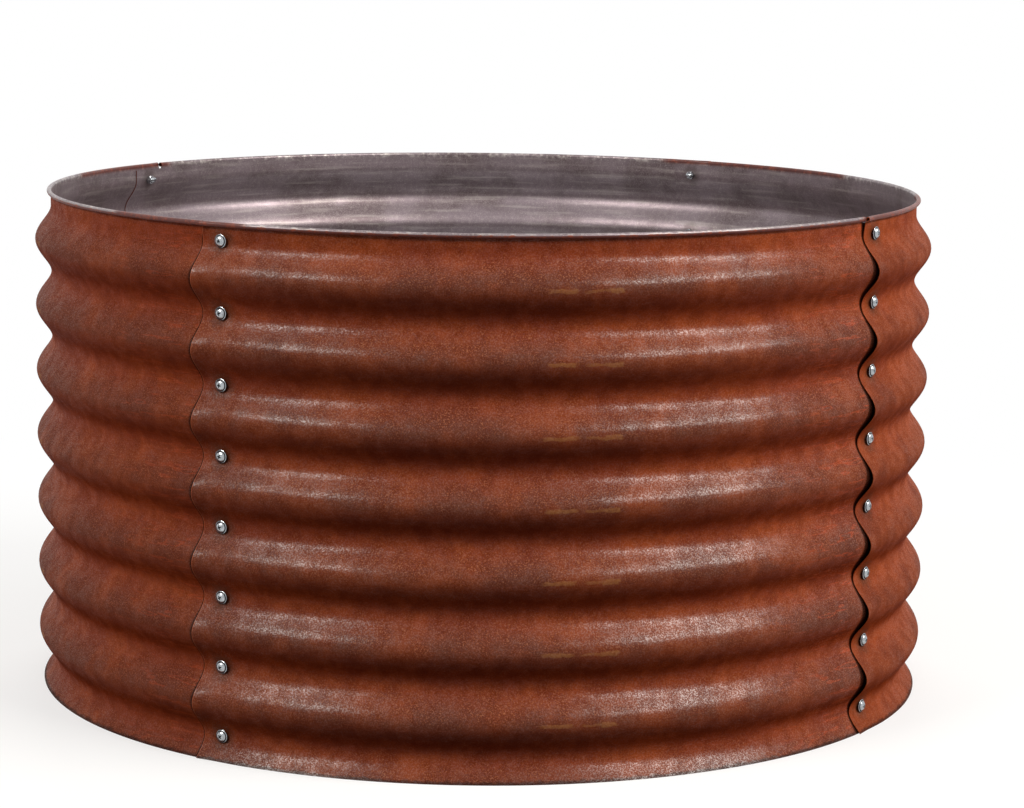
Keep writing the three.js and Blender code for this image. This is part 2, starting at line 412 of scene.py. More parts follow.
class SheetRule:
    """The rule that a panel's sheet follows, as formulas in a geometry tree."""

    def __init__(self, tree, pins):
        self.tree = tree
        for name in (*SHEET_SIZES, *SHEET_COUNTS):
            setattr(self, name, Number(tree, pins[title(name)]))
        self.lap_angle = self.screw_edge * 2 / self.wall_radius
        self.top_crest = self.height - self.top_crest_drop
        self.top_valley = self.top_crest + self.wave_pitch / 2
        self.wave_top = self.height - self.rim_diameter / 2
        self.curl_radius = (self.rim_diameter - self.sheet_thickness) / 2
        self.row_step = self.wave_pitch / self.rows_per_wave
        self.valley_row = (self.top_valley / self.row_step).math("FLOOR")
        upright_rows = ((self.wave_top - self.top_valley) / self.row_step).math("CEIL")
        self.rim_row = self.valley_row + upright_rows
        self.rows = self.rim_row + self.rim_rows
        self.columns = self.lap_columns * 2 + self.middle_columns

    def follow(self, column, row):
        """Lays out a point of the grid on the sheet: its angle from the middle, height and curl."""
        first_lap = (column / self.lap_columns).within(0.0, 1.0)
        middle = ((column - self.lap_columns) / self.middle_columns).within(0.0, 1.0)
        last_lap = ((column - self.lap_columns - self.middle_columns) / self.lap_columns).most(0.0)
        in_laps = (first_lap + last_lap - 1.0) * self.lap_angle
        self.angle = in_laps + (middle - 0.5) * (PANEL_ANGLE - self.lap_angle)
        on_wave = self.top_valley - (self.valley_row - row) * self.row_step
        self.up = (on_wave * row.above(0.5)).least(self.wave_top)
        self.curl = (row - self.rim_row).most(0.0) / self.rim_rows * self.rim_curl
        self.draw_in_to_holes()
        self.end_the_rim()

    def draw_in_to_holes(self):
        """Draws the ring of points round each screw place in to the edge of its hole."""
        side = self.angle.above(0.0) * 2 - 1
        aside = (self.angle - side * (PANEL_ANGLE / 2)) * self.wall_radius
        over = (self.up - self.top_valley).nearest(self.wave_pitch)
        column_step = self.screw_edge * 2 / self.lap_columns
        rings_out = (aside.size() / column_step).most(over.size() / self.row_step)
        self.in_hole = rings_out.below(0.5)
        away = (aside * aside + over * over).root().most(0.1 * MM)  # never 0, since it divides
        pull = (self.hole_diameter / 2 / away - 1.0) * rings_out.above(0.5) * rings_out.below(1.5)
        self.angle = self.angle + aside * pull / self.wall_radius
        self.up = self.up + over * pull

    def end_the_rim(self):
        """Ends the rolled edge a little before the neighbour's lap, under which it is cut away."""
        lap_start = (PANEL_ANGLE - self.lap_angle) / 2
        rolled = self.up.above(self.height - self.notch_depth)
        self.cut_away = rolled * self.angle.above(lap_start + ROUNDING_ANGLE)
        ended = self.angle.least(lap_start - self.rim_end_gap / self.wall_radius)
        self.angle = self.angle + (ended - self.angle) * rolled

    def along(self):
        """Distance along the sheet from its left end."""
        return (self.angle + (self.lap_angle + PANEL_ANGLE) / 2) * self.wall_radius

    def up_sheet(self):
        """Distance up the sheet: its height, and on round the rolled edge."""
        return self.up + self.curl * self.curl_radius

    def wave(self):
        """The wave, upright above the highest valley."""
        phase = (self.up.least(self.top_valley) - self.top_crest) * math.tau / self.wave_pitch
        return phase.cos() * self.wave_depth / 2

    def lap(self):
        """Offset that laps the left end over the neighbour's right end, drawn in at the screws."""
        drift = self.angle * self.lap_step / -PANEL_ANGLE
        from_screws = (self.angle.size() - PANEL_ANGLE / 2).size()
        return drift - from_screws.ramp(0.0, self.lap_angle * 0.75, 1.0, 0.0) * self.lap_pull

    def lift(self):
        """Offset of the free left end, which springs off the neighbour between the screws."""
        free = 1.0 - (self.along() / self.screw_edge).within(0.0, 1.0)
        from_valley = (self.up - self.top_valley) * math.tau / self.wave_pitch
        between = (from_valley - LIFT_PHASE).cos() / 2 + 0.5
        return free * free * between * self.edge_lift

    def dents(self):
        """Slight wandering of the wall inwards, none at the two ends."""
        at = made(self.tree, "ShaderNodeCombineXYZ", {"X": self.angle, "Y": self.up})
        inwards = noise(self.tree, at, DENT_SCALE, 1.0) * self.dent_depth
        end = PANEL_ANGLE / 2
        return inwards * self.angle.size().ramp(end, end - DENT_BORDER) * -1

    def position(self):
        radius = self.wave() + self.lap() + self.lift() + self.dents() + self.wall_radius
        radius = radius + (1.0 - self.curl.cos()) * self.curl_radius
        height = self.up + self.curl.sin() * self.curl_radius
        feeds = {"X": radius * self.angle.sin(), "Y": radius * self.angle.cos() * -1, "Z": height}
        return made(self.tree, "ShaderNodeCombineXYZ", feeds)


def point_place(tree):
    """Where a point lies, as separate X, Y and Z."""
    place = made(tree, "GeometryNodeInputPosition")
    return add(tree, "ShaderNodeSeparateXYZ", {0: place}).outputs


def stored(tree, shape, name, value, data_type, domain):
    """A shape with a value stored on it under a name."""
    feeds = {"Geometry": shape, "Name": name, "Value": value}
    settings = {"data_type": data_type, "domain": domain}
    return made(tree, "GeometryNodeStoreNamedAttribute", feeds, **settings)


def walled(tree, sheet, thickness):
    """Gives a sheet with no wall its thickness, half to each side, and marks its inner face."""
    halfway = {0: made(tree, "GeometryNodeInputNormal"), "Scale": thickness / -2}
    inwards = made(tree, "ShaderNodeVectorMath", halfway, operation="SCALE")
    inner = made(tree, "GeometryNodeSetPosition", {"Geometry": sheet, "Offset": inwards})
    risen = {"Mesh": inner, "Offset Scale": thickness, "Individual": False}
    outer = made(tree, "GeometryNodeExtrudeMesh", risen, mode="FACES")
    turned = made(tree, "GeometryNodeFlipFaces", {"Mesh": inner})
    both = add(tree, "GeometryNodeJoinGeometry")
    feed(tree, both.inputs[0], stored(tree, turned, INNER_FACE, True, "BOOLEAN", "FACE"))
    feed(tree, both.inputs[0], outer)
    merged = {"Geometry": both.outputs[0], "Distance": MERGE_DISTANCE}
    return made(tree, "GeometryNodeMergeByDistance", merged)


def trimmed(tree, wall):
    """Trims the lower edge level, so that it stands flat on the ground."""
    spot = point_place(tree)
    height = Number(tree, spot["Z"]).most(0.0)
    level = made(tree, "ShaderNodeCombineXYZ", {"X": spot["X"], "Y": spot["Y"], "Z": height})
    return made(tree, "GeometryNodeSetPosition", {"Geometry": wall, "Position": level})


def sheet_tree():
    """Geometry tree of a panel faced to the front: a grid, bent by the rule and given its wall."""
    sizes = [(title(name), VALUE, 0.0) for name in SHEET_SIZES]
    counts = [(title(name), COUNT, 1) for name in SHEET_COUNTS]
    finishes = [("Outside", FINISH, None), ("Inside", FINISH, None)]
    tree, pins, end = new_tree(
        "Corrugated sheet",
        "GeometryNodeTree",
        [("Geometry", SHAPE, None), *sizes, *counts, *finishes],
        [("Geometry", SHAPE)],
    )
    rule = SheetRule(tree, pins)
    steps = {"Vertices X": rule.columns + 1, "Vertices Y": rule.rows + 1}
    sheet = made(tree, "GeometryNodeMeshGrid", {**steps, "Size X": 1.0, "Size Y": 1.0})
    spot = point_place(tree)
    column = (Number(tree, spot["X"]) + 0.5) * rule.columns
    row = (Number(tree, spot["Y"]) + 0.5) * rule.rows
    rule.follow(column, row)
    at = made(tree, "ShaderNodeCombineXYZ", {"X": rule.along(), "Y": rule.up_sheet()})
    sheet = stored(tree, sheet, SHEET_MAP, at, "FLOAT2", "CORNER")
    missing = {"Geometry": sheet, "Selection": rule.in_hole.most(rule.cut_away)}
    sheet = made(tree, "GeometryNodeDeleteGeometry", missing, domain="POINT")
    sheet = made(tree, "GeometryNodeSetPosition", {"Geometry": sheet, "Position": rule.position()})
    sheet = trimmed(tree, walled(tree, sheet, rule.sheet_thickness))
    sheet = made(tree, "GeometryNodeRealizeInstances", {"Geometry": sheet})
    outside = {"Geometry": sheet, "Material": pins["Outside"]}
    sheet = made(tree, "GeometryNodeSetMaterial", outside)
    inner = made(tree, "GeometryNodeInputNamedAttribute", {"Name": INNER_FACE}, data_type="BOOLEAN")
    inside = {"Geometry": sheet, "Material": pins["Inside"], "Selection": inner}
    feed(tree, end.inputs["Geometry"], made(tree, "GeometryNodeSetMaterial", inside))
    return tree


def panel_mesh(sizes, outside, inside):
    """One panel, faced to the front."""
    values = {title(name): getattr(sizes, name) for name in (*SHEET_SIZES, *SHEET_COUNTS)}
    values["Outside"] = outside
    values["Inside"] = inside
    return grown_mesh("panel", bpy.data.meshes.new("panel_start"), sheet_tree(), values)


# ---------------------------------------------------------------- screws and nuts

# marks the points of a screw head that take painted shade
RECESS_SHADE = "grime"  # marks the points of a screw head where grime gathers
ROWS_PER_TURN = 4  # steps up one turn of the thread
DOME_STEPS = 8
ROUNDING = 0.15 * MM  # on the edges of a screw's flange


def ring(mesh, sides, radius_at, height_at):
    """A ring of points, with its radius and height worked out from the angle."""
    points = []
    for i in range(sides):
        angle = math.tau * i / sides
        radius = radius_at(angle)
        place_at = (radius * math.cos(angle), radius * math.sin(angle), height_at(angle))
        points.append(mesh.verts.new(place_at))
    return points


def plain_ring(mesh, sides, radius, height):
    return ring(mesh, sides, lambda angle: radius, lambda angle: height)


def skin(mesh, rings):
    """Faces between each ring and the next; a ring of one point is a pole."""
    for low, high in zip(rings, rings[1:]):
        sides = max(len(low), len(high))
        for i in range(sides):
            j = (i + 1) % sides
            lower = [low[i % len(low)], low[j % len(low)]]
            upper = [high[j % len(high)], high[i % len(high)]]
            mesh.faces.new(list(dict.fromkeys(lower + upper)))


def thread_ring(mesh, sizes, sides, height):
    """A ring of points on the thread, a sharp ridge that climbs one pitch in a turn."""

    def radius(angle):
        turns = height / sizes.thread_pitch - angle / math.tau
        to_root = abs(turns % 1 - 0.5) * 2
        return sizes.thread_diameter / 2 - sizes.thread_depth * to_root

    return ring(mesh, sides, radius, lambda angle: height)


def shank_rings(mesh, sizes, sides):
    """From the middle of the tip up to the seat of the head, threaded on the lower part."""
    core = sizes.thread_diameter / 2 - sizes.thread_depth
    tip = -sizes.screw_length
    rings = [[mesh.verts.new((0, 0, tip))], plain_ring(mesh, sides, core * 0.8, tip)]
    rows = round(sizes.thread_reach / sizes.thread_pitch * ROWS_PER_TURN)
    for row in range(1, rows):
        height = tip + row * sizes.thread_pitch / ROWS_PER_TURN
        rings.append(thread_ring(mesh, sizes, sides, height))
    rings.append(plain_ring(mesh, sides, core, tip + sizes.thread_reach))
    rings.append(plain_ring(mesh, sides, core, 0.0))
    return rings


def dome_height(sizes, across):
    """Height of a screw head's dome at a distance from its middle."""
    foot = sizes.dome_diameter / 2
    rise = sizes.head_height - sizes.dome_foot
    ball = (foot * foot + rise * rise) / (2 * rise)
    return sizes.head_height - ball + math.sqrt(ball * ball - across * across)


def head_rings(mesh, sizes, sides):
    """From the rim of the seat up over the flange and the dome."""
    flange = sizes.head_diameter / 2
    foot = sizes.dome_diameter / 2
    outline = [
        (flange - ROUNDING, 0.0),
        (flange, ROUNDING),
        (flange, sizes.flange_height - ROUNDING),
        (flange - ROUNDING, sizes.flange_height),
        (foot + 2 * ROUNDING, sizes.dome_foot - 2 * ROUNDING),
    ]
    for step in range(DOME_STEPS):
        radius = foot * (1 - step / DOME_STEPS)
        outline.append((radius, dome_height(sizes, radius)))
    rings = [plain_ring(mesh, sides, radius, height) for radius, height in outline]
    return [*rings, [mesh.verts.new((0, 0, sizes.head_height))]]


def tapered_bar(mesh, sizes, is_turned):
    """One slot of the cross recess as a solid, wider at its mouth than at its floor."""
    floor = (sizes.head_height - sizes.recess_depth, 0.55)  # height, and share of the slot's size
    mouth = (sizes.head_height + 1 * MM, 1.15)
    rings = []
    for height, part in (floor, mouth):
        x = sizes.recess_span / 2 * part
        y = sizes.recess_width / 2 * part
        outline = [(-x, -y), (x, -y), (x, y), (-x, y)]
        if is_turned:
            outline = [(y, x) for x, y in outline]
        rings.append([mesh.verts.new((*corner, height)) for corner in outline])
    low, high = rings
    mesh.faces.new(reversed(low))
    mesh.faces.new(high)
    skin(mesh, rings)


def finished_mesh(name, build):
    """A mesh made by a function that fills a bmesh, with its faces pointing out."""
    mesh = bmesh.new()
    build(mesh)
    bmesh.ops.recalc_face_normals(mesh, faces=mesh.faces)
    data = bpy.data.meshes.new(name)
    mesh.to_mesh(data)
    mesh.free()
    return data


def less(body, cutter):
    """A mesh with another cut out of it."""
    whole = new_object(body.name, body)
    tool = new_object(cutter.name, cutter)
    cut = whole.modifiers.new("Cut", "BOOLEAN")
    cut.object = tool
    cut.use_self = True
    depsgraph = bpy.context.evaluated_depsgraph_get()
    result = bpy.data.meshes.new_from_object(whole.evaluated_get(depsgraph))
    bpy.data.objects.remove(whole)
    bpy.data.objects.remove(tool)
    return result


def mark_recess_shade(mesh, sizes):
    """Marks where painted shade darkens a screw head: in its recess and in the groove round its
    dome.
    """
    dome_radius = sizes.dome_diameter / 2
    groove_start = dome_radius - 0.1 * MM
    groove_end = sizes.head_diameter / 2 - 0.5 * MM
    # the seat and the shank get no painted shade
    above_seat = 0.5 * MM  # the seat and the shank stay clean
    values = mesh.attributes.new(RECESS_SHADE, "FLOAT", "POINT").data
    for vertex, value in zip(mesh.vertices, values):
        if vertex.co.z < above_seat:
            continue
        across = math.hypot(vertex.co.x, vertex.co.y)
        below_dome = dome_height(sizes, min(across, dome_radius)) - vertex.co.z
        if across < sizes.recess_span and below_dome > 0.3 * MM:
            value.value = 1.0
        elif groove_start < across < groove_end:
            value.value = 0.8


def screw_mesh(sizes):
    """A domed screw: +Z out of the bed, the seat of its head at the origin."""

    def build(mesh):
        sides = sizes.round_sides // 2
        shank = shank_rings(mesh, sizes, sides)
        head = head_rings(mesh, sizes, sizes.round_sides)
        skin(mesh, shank)
        skin(mesh, head)
        seat, flange = shank[-1], head[0]
        for i in range(sides):
            j = (i + 1) % sides
            outer = [flange[2 * i], flange[2 * i + 1], flange[(2 * i + 2) % len(flange)]]
            mesh.faces.new([seat[j], seat[i], *outer])

    def build_recess(mesh):
        tapered_bar(mesh, sizes, False)
        tapered_bar(mesh, sizes, True)

    mesh = less(finished_mesh("screw", build), finished_mesh("recess", build_recess))
    mark_recess_shade(mesh, sizes)
    return mesh


def nut_mesh(sizes):
    """A hexagon nut with chamfered corners: +Z out of the bed, its inner end at the origin."""
    bore = sizes.thread_diameter / 2 + sizes.bore_clearance
    chamfer = 0.35 * MM  # at the mouths of the bore
    face = sizes.nut_flats / 2 * 0.97  # radius of the round end faces, just inside the flats
    corner_slope = math.tan(math.radians(30))
    sixth = math.tau / 6

    def flat(angle):
        return sizes.nut_flats / 2 / math.cos(angle % sixth - sixth / 2)

    def drop(angle):
        return (flat(angle) - face) * corner_slope

    def build(mesh):
        sides = sizes.round_sides // 6 * 6 + 6  # a multiple of 6, for a point on each corner
        top = sizes.nut_height
        rings = [
            plain_ring(mesh, sides, bore, chamfer),
            plain_ring(mesh, sides, bore + chamfer, 0.0),
            plain_ring(mesh, sides, face, 0.0),
            ring(mesh, sides, flat, drop),
            ring(mesh, sides, flat, lambda angle: top - drop(angle)),
            plain_ring(mesh, sides, face, top),
            plain_ring(mesh, sides, bore + chamfer, top),
            plain_ring(mesh, sides, bore, top - chamfer),
        ]
        skin(mesh, [*rings, rings[0]])

    return finished_mesh("nut", build)


def fastener_tree():
    """Geometry tree that sets a fastener on each point, pointing away from the axis of the bed."""
    tree, pins, end = new_tree(
        "Fasteners",
        "GeometryNodeTree",
        [
            ("Geometry", SHAPE, None),
            ("Fastener", MODEL, None),
            ("Finish", FINISH, None),
            ("Seed", COUNT, 0),
        ],
        [("Geometry", SHAPE)],
    )
    shape = add(tree, "GeometryNodeObjectInfo", {"Object": pins["Fastener"]}).outputs["Geometry"]
    spot = point_place(tree)
    outwards = made(tree, "ShaderNodeCombineXYZ", {"X": spot["X"], "Y": spot["Y"]})
    roll = add(tree, "FunctionNodeRandomValue", {"Seed": pins["Seed"]}, data_type="FLOAT")
    spun = made(tree, "ShaderNodeCombineXYZ", {"Z": Number(tree, roll.outputs[1]) * math.tau})
    start = made(tree, "FunctionNodeEulerToRotation", {0: spun})
    aimed = {"Rotation": start, "Vector": outwards}
    facing = made(tree, "FunctionNodeAlignRotationToVector", aimed, axis="Z")
    placed = {"Points": pins["Geometry"], "Instance": shape, "Rotation": facing}
    copies = made(tree, "GeometryNodeInstanceOnPoints", placed)
    copies = made(tree, "GeometryNodeRealizeInstances", {"Geometry": copies})
    finished = {"Geometry": copies, "Material": pins["Finish"]}
    feed(tree, end.inputs["Geometry"], made(tree, "GeometryNodeSetMaterial", finished))
    return tree


def fasteners(name, shape, places, finish, seed):
    """One mesh with a fastener at each place."""
    model = new_object(name + "_model", shape)
    points = bpy.data.meshes.new(name + "_places")
    points.from_pydata(places, [], [])
    tree = bpy.data.node_groups.get("Fasteners") or fastener_tree()
    mesh = grown_mesh(name, points, tree, {"Fastener": model, "Finish": finish, "Seed": seed})
    bpy.data.objects.remove(model)
    return mesh


def outward_of(node):
    """Height of a fastener's node, and the level direction out of the bed through its middle."""
    low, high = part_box(node)
    middle = (low + high) / 2
    return middle.z, Vector((middle.x, middle.y, 0)).normalized()


def reach_along(node, direction):
    """Lowest and highest reach of a node's points along a direction."""
    reach = [vertex.co.dot(direction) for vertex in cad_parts[node].data.vertices]
    return min(reach), max(reach)


def nodes_named(start):
    """Names of the fixed frame's nodes that start with some words, in order."""
    return sorted(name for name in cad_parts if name.startswith(start))


def screw_nodes():
    """Nodes that hold a screw, some of them with its nut."""
    return nodes_named("screw_")


def nut_nodes():
    """Nodes that hold a nut: those of its own first, then those that it shares with its screw."""
    return nodes_named("nut_") + nodes_named("screw_and_nut_")


def head_seats(sizes):
    """Where the middle of each screw head's seat lies."""
    places = []
    for node in screw_nodes():
        height, outward = outward_of(node)
        top = reach_along(node, outward)[1]
        places.append(outward * (top - sizes.head_height) + Vector((0, 0, height)))
    return places


def nut_ends():
    """Where the middle of each nut's inner end lies; in a shared node, as far in as its row's."""
    places = []
    reach_of_row = {}
    for node in nut_nodes():
        height, outward = outward_of(node)
        row = node.rsplit("_", 1)[1]
        if node.startswith("nut_"):
            reach_of_row[row] = reach_along(node, outward)[0]
        places.append(outward * reach_of_row[row] + Vector((0, 0, height)))
    return places


# ---------------------------------------------------------------- finishes


class Character(NamedTuple):
    """How one panel's finish differs from the others."""

    warmth: float  # how far orange-brown patches cover it
    # how strongly its crests take the mauve-brown of wear, painted sheen and painted shade
    crest_wear_and_sheen_share: float  # how dull a brown its crests are
    streaks: float  # how strong the streaks near its right end are
    gloss: float
    grain: float  # how strong its specks are
    brown_reach: float  # how far its rim is brown from each end


CHARACTERS = {
    "front": Character(0.5, 1.0, 0.6, 0.16, 0.35, 50 * MM),
    "right": Character(0.7, 0.7, 0.6, 0.08, 0.22, 300 * MM),
    "back": Character(0.5, 0.6, 0.6, 0.1, 0.35, 60 * MM),
    "left": Character(0.4, 0.8, 0.4, 0.1, 0.3, 190 * MM),
}


def mixed(tree, factor, first, second):
    """The first colour with the second over it by a factor."""
    feeds = {0: factor, 6: first, 7: second}  # the Mix node's inputs for colours
    return add(tree, "ShaderNodeMix", feeds, data_type="RGBA").outputs[2]


def painted(tree, base, *coats):
    """A colour with others laid over it in turn, each by its factor."""
    for factor, paint in coats:
        base = mixed(tree, factor, base, paint)
    return base


def grain_group():
    """Fine grain: pale and dark specks of one size."""
    inputs = [("Place", VECTOR, None), ("Grain Size", VALUE, 1 * MM)]
    tree, pins, end = new_tree("Fine grain", "ShaderNodeTree", inputs, [("Grain", VALUE)])
    per_metre = Number(tree, pins["Grain Size"]).math("POWER", -1.0)
    feed(tree, end.inputs["Grain"], noise(tree, pins["Place"], per_metre, 3.0, 0.6).ramp(0.3, 0.7))
    return tree


def patch_group():
    """Cloudy patches of one size."""
    inputs = [("Place", VECTOR, None), ("Patch Size", VALUE, 0.1), ("Cover", VALUE, 0.5)]
    tree, pins, end = new_tree("Patches", "ShaderNodeTree", inputs, [("Patches", VALUE)])
    per_metre = Number(tree, pins["Patch Size"]).math("POWER", -1.0)
    middle = Number(tree, pins["Cover"]) * -0.4 + 0.7
    cloud = noise(tree, pins["Place"], per_metre, 4.0, 0.6)
    feed(tree, end.inputs["Patches"], cloud.ramp(middle - 0.14, middle + 0.14))
    return tree


def streak_group():
    """Streaks drawn out along the sheet, and thin lines that wander along it."""
    inputs = [("Place", VECTOR, None), ("Length", VALUE, 0.1), ("Width", VALUE, 0.004)]
    outputs = [("Streaks", VALUE), ("Lines", VALUE)]
    tree, pins, end = new_tree("Streaks", "ShaderNodeTree", inputs, outputs)
    size = made(tree, "ShaderNodeCombineXYZ", {"X": pins["Length"], "Y": pins["Width"], "Z": 1.0})
    scaled = made(tree, "ShaderNodeVectorMath", {0: pins["Place"], 1: size}, operation="DIVIDE")
    waves = noise(tree, scaled, 1.0, 3.0)
    feed(tree, end.inputs["Streaks"], waves.ramp(0.5, 0.75))
    from_line = (waves - 0.6).size()
    feed(tree, end.inputs["Lines"], from_line.ramp(0.0, 0.04, 1.0, 0.0))
    return tree


def top_valley(sheet):
    """Height of the highest valley of the wave, where the highest screws are."""
    return sheet.height - sheet.top_crest_drop + sheet.wave_pitch / 2


def sheet_length(sheet):
    """Length of a panel from one cut end to the other."""
    return PANEL_ANGLE * sheet.wall_radius + 2 * sheet.screw_edge


def stain_group(sheet):
    """Ragged stain on a panel round each of its screws, and the distance from its nearer end."""
    inputs = [("Place", VECTOR, None), ("Reach", VALUE, 0.02)]
    outputs = [("Stain", VALUE), ("From End", VALUE)]
    tree, pins, end = new_tree("Screw stain", "ShaderNodeTree", inputs, outputs)
    spot = add(tree, "ShaderNodeSeparateXYZ", {0: pins["Place"]})
    along = Number(tree, spot.outputs["X"])
    from_end = along.least(sheet_length(sheet) - along)
    aside = from_end - sheet.screw_edge
    over = (Number(tree, spot.outputs["Y"]) - top_valley(sheet)).nearest(sheet.wave_pitch)
    away = (aside * aside + over * over).root()
    ragged = noise(tree, pins["Place"], 160.0, 3.0, 0.65)
    reach = Number(tree, pins["Reach"]) * (ragged + 0.5)
    feed(tree, end.inputs["Stain"], (away / reach).ramp(0.35, 1.0, 1.0, 0.0))
    feed(tree, end.inputs["From End"], from_end)
    return tree


def group(tree, name, **values):
    """The outputs of a shared node group placed in a material."""
    feeds = {title(label): value for label, value in values.items()}
    node = add(tree, "ShaderNodeGroup", feeds, node_tree=bpy.data.node_groups[name])
    return [Number(tree, output) for output in node.outputs]


def new_material(name):
    """A material, with its node tree, its shader and the place on the piece that patterns read."""
    material = bpy.data.materials.new(name)
    material.use_nodes = True
    tree = material.node_tree
    place = add(tree, "ShaderNodeTexCoord").outputs["Object"]
    return material, tree, tree.nodes["Principled BSDF"], place


def relief(tree, shader, height, depth):
    """Bump of a real depth from a height between 0 and 1."""
    bump = made(tree, "ShaderNodeBump", {"Distance": depth, "Height": height})
    feed(tree, shader.inputs["Normal"], bump)


def patches(tree, place, patch_size, cover):
    return group(tree, "Patches", place=place, patch_size=patch_size, cover=cover)[0]


def fine_grain(tree, place, grain_size):
    return group(tree, "Fine grain", place=place, grain_size=grain_size)[0]


def spot_on_sheet(tree):
    """The map of a panel: as a vector, along the sheet, and up it."""
    flat_place = made(tree, "ShaderNodeUVMap", uv_map=SHEET_MAP)
    spot = add(tree, "ShaderNodeSeparateXYZ", {0: flat_place})
    return flat_place, Number(tree, spot.outputs["X"]), Number(tree, spot.outputs["Y"])


def wave_phase(up, sheet):
    """Part of the wave at a height, as an angle up from the valley."""
    valley = top_valley(sheet)
    return (up.least(valley) - valley) * (math.tau / sheet.wave_pitch)


def outside_finish(name, colours, sheet, character):
    """Rust-brown finish of a panel's outside, with the character of that panel."""
    material, tree, shader, place = new_material(name)
    flat_place, along, up = spot_on_sheet(tree)
    clouds = patches(tree, place, 70 * MM, character.warmth)
    mottle = patches(tree, place, 18 * MM, 0.5)
    grain = fine_grain(tree, place, 1.5 * MM)
    sparkle = fine_grain(tree, place, 1.6 * MM)
    streaks, _ = group(tree, "Streaks", place=flat_place, length=70 * MM, width=4 * MM)
    _, lines = group(tree, "Streaks", place=flat_place, length=60 * MM, width=8 * MM)
    stain, from_end = group(tree, "Screw stain", place=flat_place, reach=22 * MM)
    from_right = sheet_length(sheet) - along
    phase = wave_phase(up, sheet)
    crest = (phase - math.radians(20)).cos() * -0.5 + 0.5
    facing_up = (phase + math.radians(90)).cos() * 0.5 + 0.5

    # duller mauve-brown crests: wear, with a painted sheen and painted shade that darken them
    crest_wear_and_sheen = crest * (clouds * -0.35 + 0.8) * character.crest_wear_and_sheen_share
    # painted shade tint: the down-facing slopes under each crest turn a warmer red-brown
    underside_shade_tint = facing_up.ramp(0.0, 0.6, 0.5, 0.0)
    near_right = from_right.ramp(50 * MM, 240 * MM, 1.0, 0.1) * character.streaks
    speckled = (mottle * 0.7 + 0.4) * character.grain
    pale_specks = grain.ramp(0.62, 0.95) * facing_up * speckled
    dark_specks = (1.0 - grain).ramp(0.6, 1.0) * speckled
    # pale line at each cut end: bare rust, with a painted highlight of the edge
    cut_end_highlight = from_end.ramp(0.3 * MM, 0.9 * MM, 0.6, 0.0)
    base = painted(
        tree,
        colours.rust,
        (clouds * 0.8, colours.rust_warm),
        (crest_wear_and_sheen, colours.mauve),
        (underside_shade_tint, colours.underside_shade_rust),
        (mottle * 0.3, colours.rust_deep),
        (streaks * near_right * 0.7, colours.rust_deep),
        (lines * near_right, colours.streak),
        (pale_specks, colours.speck),
        (dark_specks, colours.rust_deep),
        (stain * 0.5, colours.tarnish),
        (scuffs(tree, flat_place, along, up, sheet) * 0.5, colours.ochre),
        # painted shadow where the neighbour's free end stands off, and darker along the lower edge
        (lap_shadow_and_low_edge(tree, flat_place, from_right, up, sheet), colours.gap_shadow_and_low_edge),
        (cut_end_highlight, colours.edge),
    )
    feed(tree, shader.inputs["Base Color"], base)
    feed(tree, shader.inputs["Roughness"], grain * 0.1 + mottle * 0.06 + 0.5)
    glint = sparkle.ramp(0.4, 0.85, 0.7, 3.6) * (mottle * -0.7 + 1.4)
    glint = glint * facing_up.ramp(0.0, 1.0, 0.3, 1.0)
    feed(tree, shader.inputs["Coat Weight"], glint * character.gloss)
    shader.inputs["Coat Roughness"].default_value = 0.31
    shader.inputs["Coat IOR"].default_value = 1.6
    shader.inputs["Specular IOR Level"].default_value = 0.0  # only the coat shines
    relief(tree, shader, grain * 0.6 + mottle * 0.4, 0.08 * MM)
    return material


def lap_shadow_and_low_edge(tree, flat_place, from_right, up, sheet):
    """Painted shadow on a panel where its neighbour's free end laps over it and stands off, and a
    darkening along the lower edge.
    """
    reach = ((wave_phase(up, sheet) - LIFT_PHASE).cos() * 0.6 + 1.2) * 5.5 * MM
    before_lap = from_right - 2 * sheet.screw_edge
    # painted shadow under the neighbour's free end, widest where that end lifts most
    lapped = (before_lap / reach).ramp(0.5, 1.0, 0.85, 0.0)
    ragged = noise(tree, flat_place, 90.0, 3.0, 0.6)
    low = (up / (ragged * 9 * MM)).ramp(0.3, 1.0, 0.75, 0.0)
    return lapped.most(low)


def dash(along, over, middle, reach, height):
    """A dash along the sheet, soft at its border."""
    lengthways = ((along - middle).size() / reach).ramp(0.7, 1.1, 1.0, 0.0)
    return lengthways * (over.size() / height).ramp(0.5, 1.1, 1.0, 0.0)


def scuffs(tree, flat_place, along, up, sheet):
    """Ragged dashes on every crest, half way along the panel."""
    top_crest = sheet.height - sheet.top_crest_drop
    wander = (noise(tree, flat_place, 90.0, 3.0) - 0.5) * 6 * MM
    over = (up + wander - top_crest).nearest(sheet.wave_pitch)
    from_middle = along + wander * 3 - sheet_length(sheet) / 2
    left = dash(from_middle, over, -32 * MM, 18 * MM, 2.6 * MM)
    right_tail = dash(from_middle, over, 13 * MM, 20 * MM, 1.8 * MM)
    right_head = dash(from_middle, over, 25 * MM, 10 * MM, 3.2 * MM)
    ragged = noise(tree, flat_place, 260.0, 3.0, 0.7).ramp(0.25, 0.6, 0.3, 1.0)
    return left.most(right_tail * 0.7).most(right_head) * ragged


